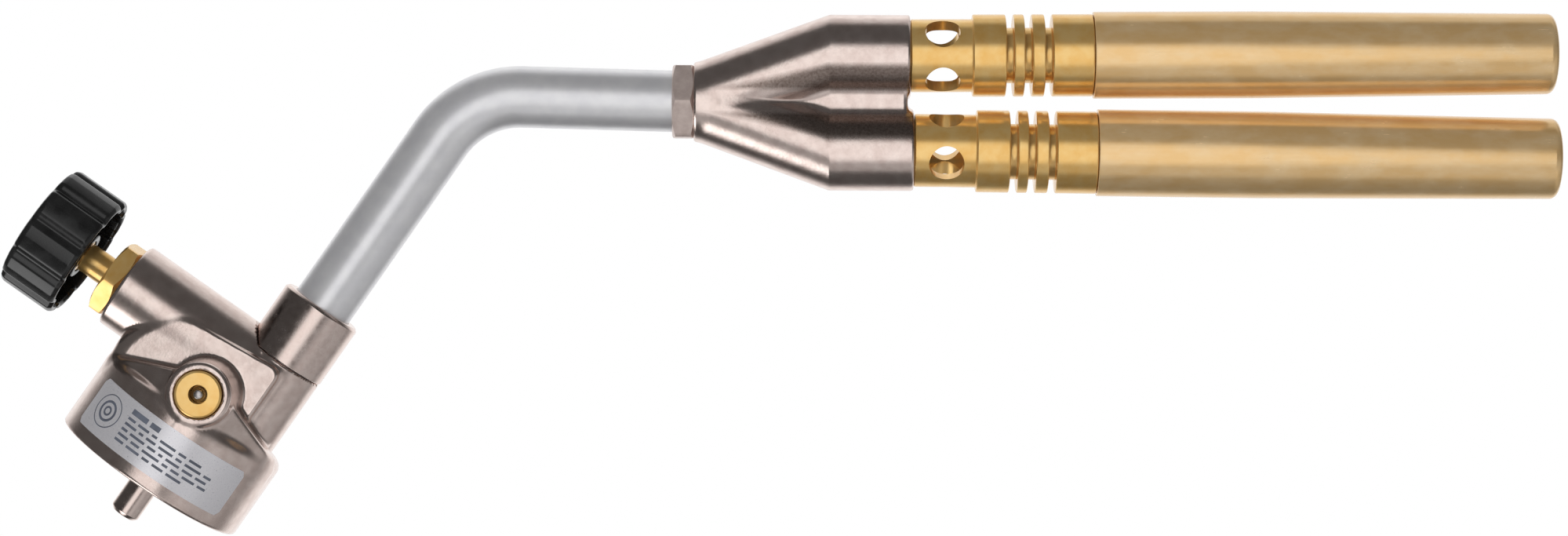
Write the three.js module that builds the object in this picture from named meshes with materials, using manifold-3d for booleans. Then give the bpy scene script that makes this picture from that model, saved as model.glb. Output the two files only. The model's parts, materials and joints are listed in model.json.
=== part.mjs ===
// Hand torch with two burners, screwed on a gas cylinder.
//
// Frame: millimetres, +Z up the inlet axis, origin at the centre of the inlet collar's bottom rim.
// The gas tube leaves the valve at +X of the inlet and bends forward, so the burners point towards +X and up.

import * as THREE from 'three';
import { mergeVertices } from 'three/addons/utils/BufferGeometryUtils.js';
import Module from 'manifold-3d';

const wasm = await Module();
wasm.setup();

// ------------------------------------------------------------------ driving dimensions

const gap = 0.3; // between pieces that touch

const collarRadius = 24.05; // the round inlet collar under the valve
const collarHeight = 20.2;
const collarShoulder = 2.5; // rounding of its top edge
const collarWall = 3.4;
const pocketTop = 11.5; // how deep the collar is hollow
const threadMajorRadius = 12.7; // female 1 in thread of a disposable gas cylinder
const threadMinorRadius = 11.9;
const threadPitch = 1.27;
const threadTurns = 6;
const stemRadius = 3.55;
const stemBottom = -10.8;

const barrelHeight = 34; // height of the valve barrel's axis, which runs along X
const barrelRadius = 10.75;
const barrelEnd = -30.5;
const chamberRadius = 5.3;
const packingRadius = 7.6;
const packingDepth = -19.8;
const seatFace = -1;

const outletX = 10.5; // the gas tube's lower axis
const outletRadius = 9.8;
const outletSplit = 40.7; // where the outlet collar stands on the cast boss
const outletCollarTop = 56.5;

const sideBossX = 0.8;
const sideBossHeight = 25.2;
const sideBossRadius = 7.5;
const sideBossFace = -24.3;

const webFace = 10.9; // from the middle to either face of the web between collar and barrel

const tubeRadius = 7.25;
const tubeBore = 6;
const tubeBottom = 39.9;
const bendRadius = 23;
const bendCorner = new THREE.Vector2(outletX, 117.2); // where the tube's two straight axes meet
const neckPoint = new THREE.Vector2(54.6, 146.2); // centre of the manifold's neck face
const tubeDepthInNeck = 8;
const tubeHole = tubeRadius + gap + 0.1;

const headAngle = THREE.MathUtils.degToRad(34.7); // of the burners above +X
const barrelOffset = 11.15; // from the head's axis to each burner's axis
const headBarrelRadius = 9.6;
const headLength = 50.9;
const headShoulder = 31.9; // where the slanted pipes become straight barrels
const neckRadius = 9.1;
const burners = [
  { side: 'upper', offset: barrelOffset, start: headLength, splay: 0.46, firstHole: 39.3 },
  { side: 'lower', offset: -barrelOffset, start: headLength + 1, splay: -0.46, firstHole: -23.6 },
];

const mixerRadius = 8.6; // of the mixing tube, where its air holes are
const mixerCollarRadius = 9.7;
const finRootRadius = 6.55;
const spigotRadius = 7.2;
const spigotLength = 11;
const airHoleRadius = 4.15;
const airHoleX = 7.6;
const flameTubeStart = 43.1;
const flameTubeEnd = 151.9;
const flameTubeRadius = 10.25;
const flameTipRadius = 9.5;
const flameTubeWall = 1.2;
const flameTaperStart = 81;

const knobBack = -41;
const knobFront = -55.6;
const knobFloor = knobFront + 3; // where its hub's hole ends
const knobRadius = 15.7;
const knobDome = 1.3;
const lobes = 10;
const fluteDepth = 0.9;
const fluteTurn = THREE.MathUtils.degToRad(26);
const spindleRadius = 3.6;
const spindleThreadRadius = 4.7;
const spindleEnd = knobFloor + 0.7;

const nutAcrossFlats = 17;
const wide = 32; // sides of the large round pieces
const middling = 24;
const slim = 16;

// ------------------------------------------------------------------ materials

const finishes = {
  castNickel: { color: 0xb5a9a4, roughness: 0.38, metalness: 1 },
  plainNickel: { color: 0xbdb4b0, roughness: 0.28, metalness: 1 },
  aluminium: { color: 0xc8c8cc, roughness: 0.42, metalness: 1 },
  brass: { color: 0xc79a4b, roughness: 0.25, metalness: 1 },
  satinBrass: { color: 0xbfa06a, roughness: 0.4, metalness: 1 },
  steel: { color: 0xa9a5a3, roughness: 0.35, metalness: 1 },
  blackPlastic: { color: 0x121212, roughness: 0.22, metalness: 0 },
  rubber: { color: 0x1c1c1c, roughness: 0.8, metalness: 0 },
  packing: { color: 0xe6e2d8, roughness: 0.7, metalness: 0 },
  foil: { color: 0xa9acb8, roughness: 0.4, metalness: 0.6 },
};

// ------------------------------------------------------------------ solids and how they are joined

function signedVolume(positions, triangles) {
  const corner = (index) => new THREE.Vector3().fromArray(positions, index * 3);
  let volume = 0;
  for (let i = 0; i < triangles.length; i += 3) {
    const [a, b, c] = [corner(triangles[i]), corner(triangles[i + 1]), corner(triangles[i + 2])];
    volume += a.dot(b.cross(c)) / 6;
  }
  return volume;
}

// A closed three.js geometry as a solid that can be joined and cut, with its faces pointing out.
function solid(geometry) {
  const bare = geometry.clone();
  bare.deleteAttribute('normal');
  bare.deleteAttribute('uv');
  const merged = mergeVertices(bare, 1e-4);
  const vertProperties = Float32Array.from(merged.attributes.position.array);
  const corners = Array.from(merged.index.array);
  const triangles = [];
  for (let i = 0; i < corners.length; i += 3) {
    const [a, b, c] = corners.slice(i, i + 3);
    if (a !== b && b !== c && c !== a) triangles.push(a, b, c);
  }
  const triVerts = Uint32Array.from(triangles);
  if (signedVolume(vertProperties, triVerts) < 0) triVerts.reverse();
  return new wasm.Manifold(new wasm.Mesh({ numProp: 3, vertProperties, triVerts }));
}

function join(...solids) {
  return solids.reduce((whole, piece) => whole.add(piece));
}

function cut(whole, ...solids) {
  return solids.reduce((rest, piece) => rest.subtract(piece), whole);
}

function geometryOf(manifold) {
  const mesh = manifold.getMesh();
  const geometry = new THREE.BufferGeometry();
  geometry.setAttribute('position', new THREE.BufferAttribute(mesh.vertProperties, 3));
  geometry.setIndex(new THREE.BufferAttribute(mesh.triVerts, 1));
  return geometry;
}

// Points of a circular arc in a profile, from one angle to another in degrees.
function arc(centreRadius, centreHeight, radius, from, to, steps) {
  return Array.from({ length: steps + 1 }, (_, i) => {
    const angle = THREE.MathUtils.degToRad(from + ((to - from) * i) / steps);
    return [centreRadius + radius * Math.cos(angle), centreHeight + radius * Math.sin(angle)];
  });
}

// A closed profile of [radius, height] points turned about one of the axes.
const turnsOnto = {
  x: (geometry) => geometry.rotateX(Math.PI / 2).rotateY(Math.PI / 2),
  y: (geometry) => geometry,
  z: (geometry) => geometry.rotateX(Math.PI / 2),
};

function turned(axis, profile, sides = middling) {
  const points = profile.map(([radius, height]) => new THREE.Vector2(radius, height));
  points.push(points[0].clone());
  return solid(turnsOnto[axis](new THREE.LatheGeometry(points, sides)));
}

function disc(axis, radius, from, to, sides = middling) {
  return turned(axis, [[0, from], [radius, from], [radius, to], [0, to]], sides);
}

function ring(axis, inner, outer, from, to, sides = middling) {
  return turned(axis, [[inner, from], [outer, from], [outer, to], [inner, to]], sides);
}

// A rubber ring: a ring of round section.
function roundRing(axis, inner, outer, centre, sides = slim) {
  const section = (outer - inner) / 2;
  return turned(axis, arc(inner + section, centre, section, 0, 315, 7), sides);
}

function block(low, high) {
  const size = high.map((value, i) => value - low[i]);
  const middle = high.map((value, i) => (value + low[i]) / 2);
  return solid(new THREE.BoxGeometry(...size).translate(...middle));
}

// A straight round bar, or a tapered one, between two points.
function bar(from, to, startRadius, endRadius = startRadius, sides = middling) {
  const start = new THREE.Vector3(...from);
  const run = new THREE.Vector3(...to).sub(start);
  const geometry = new THREE.CylinderGeometry(endRadius, startRadius, run.length(), sides);
  geometry.translate(0, run.length() / 2, 0);
  const up = new THREE.Vector3(0, 1, 0);
  geometry.applyQuaternion(new THREE.Quaternion().setFromUnitVectors(up, run.clone().normalize()));
  return solid(geometry.translate(...start));
}

// An outline in the YZ plane, extruded along X from a starting place.
function alongX(outline, from, settings) {
  const geometry = new THREE.ExtrudeGeometry(new THREE.Shape(outline), settings);
  return solid(geometry.rotateX(Math.PI / 2).rotateZ(Math.PI / 2).translate(from, 0, 0));
}

// A hexagonal prism along X whose corners are turned off, as a nut's are.
function hexNut(acrossFlats, from, to, turn) {
  const corner = acrossFlats / 2 / Math.cos(Math.PI / 6);
  const outline = Array.from({ length: 6 }, (_, i) => {
    const angle = turn + (i * Math.PI) / 3;
    return new THREE.Vector2(corner * Math.sin(angle), corner * Math.cos(angle));
  });
  const prism = alongX(outline, from, { depth: to - from, bevelEnabled: false });
  const chamfer = 0.7;
  const rounding = [
    [0, from], [corner - chamfer, from], [corner, from + chamfer],
    [corner, to - chamfer], [corner - chamfer, to], [0, to],
  ];
  return prism.intersect(turned('x', rounding));
}

const group = new THREE.Group();

function place(parent, name, finish, shape) {
  const material = new THREE.MeshStandardMaterial(finishes[finish]);
  const mesh = new THREE.Mesh(geometryOf(shape), material);
  mesh.name = name;
  parent.add(mesh);
}

// ------------------------------------------------------------------ valve body

const ribCount = 6;
const innerBossRadius = 15.8;
const threadRingRadius = 14;
const chestRadius = 13; // of the small space over the thread
const chestTop = 14;
const stemTop = 19.6;

function inletCollar() {
  const round = collarShoulder;
  const shoulder = arc(collarRadius - round, collarHeight - round, round, 0, 90, 4);
  return turned('z', [
    [0, 0], [collarRadius - 0.6, 0], [collarRadius, 0.6], ...shoulder, [0, collarHeight],
  ], 40);
}

// What is hollow inside the collar: an outer pocket between ribs, and the thread's and the stem's holes.
function inletHollow() {
  const pocket = ring('z', innerBossRadius, collarRadius - collarWall, -1, pocketTop, wide);
  const ribs = Array.from({ length: ribCount }, (_, i) => {
    const rib = new THREE.BoxGeometry(collarRadius - innerBossRadius, 2, pocketTop);
    rib.translate((collarRadius - 1 + innerBossRadius) / 2, 0, pocketTop / 2 + 2);
    return solid(rib.rotateZ(((i + 0.5) * 2 * Math.PI) / ribCount));
  });
  return join(
    cut(pocket, ...ribs),
    disc('z', threadRingRadius + gap, -1, pocketTop, wide),
    disc('z', chestRadius, pocketTop - 1, chestTop, wide),
    disc('z', stemRadius + gap, chestTop - 1, stemTop + gap, slim),
  );
}

// A sloping fairing from the side boss down to the collar's rim, as a wedge between its corners.
function wing(boss, rimFront, tip) {
  const inner = [[sideBossX, -5, boss[2]], [tip[0], -5, tip[2]], [sideBossX, -5, 17], [tip[0], -5, 17]];
  const outer = [
    boss, rimFront, tip,
    [sideBossX, boss[1], boss[2]], [sideBossX, rimFront[1], 17], [tip[0], tip[1], 17],
  ];
  const wedge = wasm.Manifold.hull([...inner, ...outer]);
  return wedge.intersect(disc('z', collarRadius - 0.4, 0, 40, 40));
}

// The web between collar and barrel: a thick plate with bevelled rims.
function webPlate() {
  const outline = new THREE.Shape([
    new THREE.Vector2(-22.8, collarHeight - 2),
    new THREE.Vector2(outletX + 2, collarHeight - 2),
    new THREE.Vector2(outletX + 2, 36),
    new THREE.Vector2(7.3, 38.8),
    new THREE.Vector2(-21, 35.9),
    new THREE.Vector2(-20.8, 32),
    new THREE.Vector2(-22.5, 29),
    new THREE.Vector2(-23.6, 24.5),
  ]);
  const bevel = 1;
  const geometry = new THREE.ExtrudeGeometry(outline, {
    depth: 2 * (webFace - bevel), bevelThickness: bevel, bevelSize: bevel, bevelOffset: -bevel, bevelSegments: 1,
  });
  geometry.translate(0, 0, bevel - webFace);
  return solid(geometry.rotateX(Math.PI / 2));
}

function valveBody() {
  const barrel = turned('x', [
    [0, barrelEnd], [barrelRadius - 0.8, barrelEnd], [barrelRadius, barrelEnd + 0.8],
    [barrelRadius, 4], [barrelRadius - 3, 7], [0, 7],
  ], wide).translate([0, 0, barrelHeight]);
  const outletBoss = disc('z', outletRadius, collarHeight - 2, outletSplit, wide).translate([outletX, 0, 0]);
  const sideBoss = turned('y', [
    [0, sideBossFace], [sideBossRadius - 0.6, sideBossFace], [sideBossRadius, sideBossFace + 0.6],
    [9.3, 0], [0, 0],
  ]).translate([sideBossX, 0, sideBossHeight]);
  const leftWing = wing([-5.8, -20, 27.1], [-4.2, -23, 20], [-19.6, -13, 21]);
  const rightWing = wing([7, -20, 27.7], [7.5, -22.6, 20], [19.4, -12.8, 22.3]);
  const outside = join(inletCollar(), barrel, webPlate(), outletBoss, sideBoss, leftWing, rightWing);

  const chamber = join(
    disc('x', packingRadius, barrelEnd - 1, packingDepth),
    disc('x', chamberRadius, packingDepth - 1, seatFace),
    disc('x', 3.8, seatFace - 1, 2.4, slim),
    disc('x', 1.5, 2, outletX, slim),
  ).translate([0, 0, barrelHeight]);
  const outlet = join(
    disc('z', 2.5, barrelHeight, 38.5, slim),
    disc('z', tubeHole, 38, outletSplit + 1),
    disc('z', 10.3, outletSplit, 60, wide),
  ).translate([outletX, 0, 0]);
  const sideHole = join(
    disc('y', 5.8, sideBossFace - 1, -17.3),
    disc('y', 2, -18, 0.5, slim),
  ).translate([sideBossX, 0, sideBossHeight]);
  const riser = bar([-2.2, 0, stemTop], [-2.2, 0, barrelHeight], 1.2, 1.2, slim);
  return cut(outside, inletHollow(), chamber, outlet, sideHole, riser);
}

place(group, 'valve_body', 'castNickel', valveBody());

// ------------------------------------------------------------------ inlet

function threadRing() {
  const bottom = 2;
  const crest = (turn) => bottom + 1 + (turn + 0.5) * threadPitch;
  const ridges = Array.from({ length: threadTurns }, (_, turn) => [
    [threadMajorRadius, crest(turn) - threadPitch / 2],
    [threadMinorRadius, crest(turn)],
  ]).flat();
  const top = crest(threadTurns - 1) + threadPitch / 2;
  return turned('z', [
    [threadRingRadius, bottom], [threadMajorRadius, bottom], ...ridges,
    [threadMajorRadius, top], [threadRingRadius, top + 0.6],
  ]);
}

function inletStem() {
  return turned('z', [
    [1.3, stemBottom], [stemRadius - 0.7, stemBottom], [stemRadius, stemBottom + 0.7],
    [stemRadius, 4], [2.7, 4], [2.7, 6.4], [stemRadius, 6.4], [stemRadius, stemTop],
    [2.5, stemTop], [2.5, 15], [1.3, 15],
  ], slim);
}

place(group, 'inlet_thread_ring', 'brass', threadRing());
place(group, 'inlet_stem', 'plainNickel', inletStem());
place(group, 'stem_o_ring', 'rubber', roundRing('z', 3, 4.4, 5.2));
place(group, 'inlet_gasket', 'rubber', ring('z', 4.2, 12, 11.9, 13.7));
place(group, 'inlet_filter', 'brass', disc('z', 2.2, 15.3, 19.3, slim));

// ------------------------------------------------------------------ outlet and gas tube

function outletCollar() {
  const bottom = outletSplit + gap;
  return turned('z', [
    [tubeHole, bottom], [9.95, bottom], [9.95, outletCollarTop - 0.7],
    [9.25, outletCollarTop], [tubeHole, outletCollarTop],
  ], wide).translate([outletX, 0, 0]);
}

// The tube's centre line: straight up, one round bend, straight into the manifold's neck.
function tubeRoute() {
  const outgoing = neckPoint.clone().sub(bendCorner).normalize();
  const turn = Math.PI / 2 - outgoing.angle();
  const tangent = bendRadius * Math.tan(turn / 2);
  const bendStart = new THREE.Vector2(bendCorner.x, bendCorner.y - tangent);
  const centre = new THREE.Vector2(bendStart.x + bendRadius, bendStart.y);
  const end = neckPoint.clone().addScaledVector(outgoing, tubeDepthInNeck);
  const bend = Array.from({ length: 8 }, (_, i) => {
    const angle = Math.PI - (turn * i) / 7;
    return new THREE.Vector3(centre.x + bendRadius * Math.cos(angle), 0, centre.y + bendRadius * Math.sin(angle));
  });
  const points = [new THREE.Vector3(outletX, 0, tubeBottom), ...bend, new THREE.Vector3(end.x, 0, end.y)];
  const route = new THREE.CurvePath();
  points.slice(1).forEach((point, i) => route.add(new THREE.LineCurve3(points[i], point)));
  return route;
}

function gasTube() {
  const section = new THREE.Shape().absarc(0, 0, tubeRadius, 0, 2 * Math.PI);
  section.holes.push(new THREE.Path().absarc(0, 0, tubeBore, 0, 2 * Math.PI));
  const settings = { steps: 26, curveSegments: 9, bevelEnabled: false, extrudePath: tubeRoute() };
  return solid(new THREE.ExtrudeGeometry(section, settings));
}

place(group, 'outlet_collar', 'plainNickel', outletCollar());
place(group, 'gas_tube', 'aluminium', gasTube());
place(group, 'tube_gasket', 'rubber', ring('z', 3, 7.2, 38.3, 39.6).translate([outletX, 0, 0]));

// ------------------------------------------------------------------ side plug

const atSideBoss = [sideBossX, 0, sideBossHeight];

function sidePlug() {
  const face = sideBossFace - 0.6;
  return turned('y', [
    [0, -18.2], [5.5, -18.2], [5.5, face + 0.4], [5.1, face], [2.15, face], [2.15, -20.8], [0, -20.8],
  ]).translate(atSideBoss);
}

function sidePlugPin() {
  return turned('y', [
    [0, -21.1], [1.8, -21.1], [1.8, -23.3], [1.3, -23.9], [1.1, -24.5], [0, -24.7],
  ], slim).translate(atSideBoss);
}

place(group, 'side_plug', 'brass', sidePlug());
place(group, 'side_plug_pin', 'steel', sidePlugPin());
place(group, 'side_plug_gasket', 'rubber', ring('y', 2.6, 5.4, -17.9, -17.55).translate(atSideBoss));

// ------------------------------------------------------------------ label

function dataLabel() {
  const inner = collarRadius + 0.25;
  const outer = inner + 0.25;
  const halfWidth = THREE.MathUtils.degToRad(54);
  const middle = -Math.PI / 2;
  const outline = new THREE.Shape();
  outline.absarc(0, 0, outer, middle - halfWidth, middle + halfWidth, false);
  outline.absarc(0, 0, inner, middle + halfWidth, middle - halfWidth, true);
  const height = 12.7;
  const geometry = new THREE.ExtrudeGeometry(outline, { depth: height, curveSegments: 16, bevelEnabled: false });
  return solid(geometry.translate(0, 0, 3.1));
}

place(group, 'data_label', 'foil', dataLabel());

// ------------------------------------------------------------------ valve spindle, packing and knob

const spindle = new THREE.Group();
spindle.position.z = barrelHeight;
group.add(spindle);

function glandNut() {
  const hex = hexNut(nutAcrossFlats, -35, barrelEnd - gap, THREE.MathUtils.degToRad(24));
  const sleeve = disc('x', spigotRadius, barrelEnd - 1, -24);
  return cut(join(hex, sleeve), disc('x', spindleRadius + gap, -36, -20, slim));
}

function valveSeat() {
  return turned('x', [[1.3, 0.6], [2.2, seatFace + gap], [3.5, seatFace + gap], [3.5, 2.1], [1.3, 2.1]], slim);
}

function spindleShape() {
  return turned('x', [
    [0, -45.2], [1.8, -45.2], [1.8, spindleEnd], [2.5, spindleEnd], [2.5, -42], [spindleRadius, -42],
    [spindleRadius, -15],
    [spindleThreadRadius, -15], [spindleThreadRadius, -13.9], [3, -13.9], [3, -11.5],
    [spindleThreadRadius, -11.5],
    [spindleThreadRadius, -4.5], [2.4, -3.5], [0.4, 0.6], [0, 0.6],
  ], slim);
}

// The knob's outline: ten broad lobes between narrow flutes.
function knobOutline(radius) {
  const perLobe = 8;
  const points = Array.from({ length: lobes * perLobe }, (_, i) => {
    const turn = (i % perLobe) / perLobe;
    const nearFlute = Math.min(turn, 1 - turn) * perLobe;
    const inset = nearFlute < 0.5 ? fluteDepth : nearFlute < 1.5 ? fluteDepth * 0.4 : 0;
    const angle = (2 * Math.PI * i) / (lobes * perLobe) + fluteTurn;
    return new THREE.Vector2((radius - inset) * Math.sin(angle), (radius - inset) * Math.cos(angle));
  });
  return points;
}

function knobShape() {
  const bevel = 0.8;
  const length = knobBack - knobFront - 2 * bevel;
  const rim = alongX(knobOutline(knobRadius - bevel), knobFront + bevel, {
    depth: length, bevelThickness: bevel, bevelSize: bevel, bevelSegments: 2,
  });
  const dome = turned('x', [
    [0, knobFront + 1], [14.2, knobFront + 1], [14.2, knobFront], [11, knobFront - knobDome * 0.6],
    [7, knobFront - knobDome], [0, knobFront - knobDome],
  ]);
  return cut(
    join(rim, dome),
    ring('x', 6, 13.4, knobFront + 5.2, knobBack + 1),
    ring('x', 0.01, 6.5, -42.2, knobBack + 1),
    disc('x', 4.3, knobFloor, knobBack + 1, slim),
    disc('x', 3.3, knobFront - 2, knobFloor + 0.2, slim),
    disc('x', 5.2, knobFront - 2, knobFront + 0.6, slim),
  );
}

place(spindle, 'gland_nut', 'brass', glandNut());
place(spindle, 'gland_packing', 'packing', ring('x', 3.9, 7.2, -23.7, -21.4, slim));
place(spindle, 'packing_washer', 'steel', ring('x', 3.9, 7.2, -21.1, -20.1, slim));
place(spindle, 'valve_seat', 'packing', valveSeat());
place(spindle, 'spindle', 'brass', spindleShape());
place(spindle, 'spindle_o_ring', 'rubber', roundRing('x', 3.3, 5, -12.7));
place(spindle, 'knob', 'blackPlastic', knobShape());
place(spindle, 'knob_insert', 'brass', ring('x', 2.8, 4, knobFloor + gap, -42.3, slim));
place(spindle, 'knob_screw', 'steel', join(
  disc('x', 2.9, knobFloor - 2.2, knobFloor, slim),
  disc('x', 1.5, knobFloor - 0.1, -46, slim),
));
place(spindle, 'knob_cap', 'blackPlastic', disc('x', 4.9, knobFront - 1.2, knobFront + gap, slim));

// ------------------------------------------------------------------ burner head

const head = new THREE.Group();
head.position.set(neckPoint.x, 0, neckPoint.y);
head.rotation.y = -headAngle;
group.add(head);

const tubeTilt = neckPoint.clone().sub(bendCorner).angle() - headAngle; // of the tube to the head's axis

function tubeHoleInNeck(radius, from, to) {
  const along = (distance) => [distance * Math.cos(tubeTilt), 0, distance * Math.sin(tubeTilt)];
  return bar(along(from), along(to), radius);
}

// A round pipe that leans upwards by rise over its length. Its ends stay square to X.
function leaningPipe(length, rise, from, to) {
  const straight = turned('x', [[0, 0], [from, 0], [to, length], [0, length]], wide);
  return straight.transform([1, 0, rise / length, 0, 0, 1, 0, 0, 0, 0, 1, 0, 0, 0, 0, 1]);
}

function burnerManifold() {
  const neck = disc('x', neckRadius, gap, 6, wide);
  const web = block([6, -4.8, -barrelOffset], [headLength - 0.6, 4.8, barrelOffset]);
  const halves = burners.map(({ offset, start }) => {
    const pipe = leaningPipe(headShoulder, offset, neckRadius, headBarrelRadius);
    const barrel = disc('x', headBarrelRadius, headShoulder, start, wide).translate([0, 0, offset]);
    return join(pipe, barrel);
  });
  const passages = burners.map(({ offset, start, splay }) => {
    const bores = join(
      disc('x', spigotRadius + gap, -12, 1),
      disc('x', 3.9, -26, -11, slim),
    ).rotate([0, -splay, 0]).translate([start, 0, offset]);
    return join(bores, bar([6, 0, 0], [28, 0, offset], 2.2, 2.2, slim));
  });
  return cut(
    join(neck, web, ...halves),
    block([-10, -15, -15], [gap, 15, 15]),
    tubeHoleInNeck(tubeHole, -2, tubeDepthInNeck + 1),
    disc('x', 8.6, -1, 4.4),
    ...passages,
  );
}

function manifoldNut() {
  const hex = hexNut(nutAcrossFlats, -5, -gap / 2, THREE.MathUtils.degToRad(30));
  return cut(hex, tubeHoleInNeck(tubeHole, -8, 3));
}

function ferrule() {
  return cut(
    turned('x', [[0, 0.5], [8.1, 0.5], [8.4, 1.5], [8, 4], [0, 4]]),
    tubeHoleInNeck(tubeHole, -2, 6),
  );
}

place(head, 'burner_manifold', 'castNickel', burnerManifold());
place(head, 'manifold_nut', 'plainNickel', manifoldNut());
place(head, 'tube_ferrule', 'brass', ferrule());

// ------------------------------------------------------------------ burners

function gasJet() {
  return turned('x', [
    [0.6, -24], [3.6, -24], [3.6, -14], [2.4, -13], [2.4, -5], [1.6, -4], [0.6, -4],
  ], slim);
}

function mixingTube(firstHole) {
  const grooves = [22.5, 26.8, 31.6];
  const grooveWidth = 1.8;
  const fins = grooves.flatMap((start) => [
    [mixerCollarRadius, start], [finRootRadius, start],
    [finRootRadius, start + grooveWidth], [mixerCollarRadius, start + grooveWidth],
  ]);
  const body = turned('x', [
    [6, -spigotLength], [spigotRadius, -spigotLength], [spigotRadius, gap], [mixerRadius, gap],
    [mixerRadius, 14.7], [mixerCollarRadius, 14.7], ...fins, [mixerCollarRadius, flameTubeStart],
    [8.7, flameTubeStart], [8.7, 52], [7.4, 52], [4.6, 38], [4.6, 20], [6, 14.5],
  ]);
  const holes = [0, 90].map((quarter) => {
    const angle = THREE.MathUtils.degToRad(firstHole + quarter);
    const across = [-12 * Math.cos(angle), 12 * Math.sin(angle)];
    return bar([airHoleX, ...across], [airHoleX, -across[0], -across[1]], airHoleRadius, airHoleRadius, slim);
  });
  return cut(body, ...holes);
}

function flameTube() {
  const tip = arc(flameTipRadius - 0.6, flameTubeEnd - 0.6, 0.6, 0, 180, 4);
  return turned('x', [
    [flameTubeRadius - flameTubeWall, flameTubeStart + gap], [flameTubeRadius, flameTubeStart + gap],
    [flameTubeRadius, flameTaperStart], ...tip, [flameTipRadius - flameTubeWall, flameTubeEnd - 3],
    [flameTubeRadius - flameTubeWall, flameTaperStart],
  ]);
}

function flameHolder() {
  const ports = Array.from({ length: 6 }, (_, i) => {
    const angle = (i * Math.PI) / 3;
    return disc('x', 1.4, 50, 70, 10).translate([0, 5.6 * Math.cos(angle), 5.6 * Math.sin(angle)]);
  });
  return cut(ring('x', 2.6, 8.7, 56, 60), ...ports);
}

for (const { side, offset, start, splay, firstHole } of burners) {
  const burner = new THREE.Group();
  burner.position.set(start, 0, offset);
  burner.rotation.y = -THREE.MathUtils.degToRad(splay);
  head.add(burner);
  place(burner, `${side}_jet`, 'brass', gasJet());
  place(burner, `${side}_mixing_tube`, 'brass', mixingTube(firstHole));
  place(burner, `${side}_flame_tube`, 'satinBrass', flameTube());
  place(burner, `${side}_flame_holder`, 'brass', flameHolder());
}

export default group;
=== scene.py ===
"""The look of the twin-burner hand torch, round its CAD frame: fine surfaces, materials, light and camera.

Lengths in the shape code are millimetres in the frame's axes. mesh_object scales them to metres.
"""

import itertools
import json
import math

import bpy
import numpy as np
from mathutils import Matrix, Vector


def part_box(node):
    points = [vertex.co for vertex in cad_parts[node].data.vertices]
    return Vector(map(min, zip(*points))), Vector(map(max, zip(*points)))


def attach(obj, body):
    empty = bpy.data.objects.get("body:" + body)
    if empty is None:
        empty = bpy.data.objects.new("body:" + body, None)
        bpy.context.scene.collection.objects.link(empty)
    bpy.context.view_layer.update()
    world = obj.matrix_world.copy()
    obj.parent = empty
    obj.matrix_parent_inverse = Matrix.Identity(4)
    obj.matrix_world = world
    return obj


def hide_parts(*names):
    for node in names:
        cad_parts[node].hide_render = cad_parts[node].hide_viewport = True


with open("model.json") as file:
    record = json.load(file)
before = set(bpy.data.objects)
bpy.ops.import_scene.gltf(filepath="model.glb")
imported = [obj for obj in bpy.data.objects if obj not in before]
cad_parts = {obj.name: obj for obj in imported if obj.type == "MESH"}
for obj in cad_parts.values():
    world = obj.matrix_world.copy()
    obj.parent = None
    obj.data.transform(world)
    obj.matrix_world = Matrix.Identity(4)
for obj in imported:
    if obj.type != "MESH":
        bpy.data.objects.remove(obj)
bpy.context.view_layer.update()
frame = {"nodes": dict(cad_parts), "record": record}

MM = 0.001
SIDES = 112

# -------- places and sizes, in millimetres

body_of = {node: body for body, nodes in frame["record"]["behaviour"]["bodies"].items() for node in nodes}
slot_of = {part["node"]: part["material_slot"] for part in frame["record"]["subparts"]}


def cad_box(node):
    low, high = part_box(node)
    return np.array(low) / MM, np.array(high) / MM


def cad_points(node):
    return np.array([vertex.co for vertex in frame["nodes"][node].data.vertices], float) / MM


COLLAR_RADIUS = cad_box("valve_body")[1][1]
COLLAR_HEIGHT = 20.2
COLLAR_SHOULDER = 2.5
COLLAR_WALL = 3.4
POCKET_TOP = 11.5
BARREL_AXIS = 34.0
BARREL_RADIUS = 10.75
BARREL_END = -30.5
OUTLET_X = 10.5
OUTLET_RADIUS = 9.8
OUTLET_SPLIT = 40.7
TUBE_RADIUS = 7.25
TUBE_BORE = 6.0
TUBE_HOLE = 7.65
BEND_RADIUS = 23.0
BEND_CORNER = np.array([OUTLET_X, 0, 117.2])
SIDE_BOSS = np.array([0.8, 0, 25.2])
SIDE_BOSS_RADIUS = 7.5
SIDE_BOSS_FACE = -24.3
WEB_FACE = 10.65
THREAD_RING_RADIUS = 14.0
INNER_BOSS_RADIUS = 15.8
CHEST_RADIUS = 13.0
CHEST_TOP = 14.0
STEM_RADIUS = 3.55
STEM_TOP = 19.6
# each wing's side (-1 left, 1 right) and its sloping facet's corners: at the boss, on the rim and at its tip
WINGS = [
    (-1, (-5.8, -20, 27.1), (-4.2, -23, 20), (-19.6, -13, 21)),
    (1, (7, -20, 27.7), (7.5, -22.6, 20), (19.4, -12.8, 22.3)),
]

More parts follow.
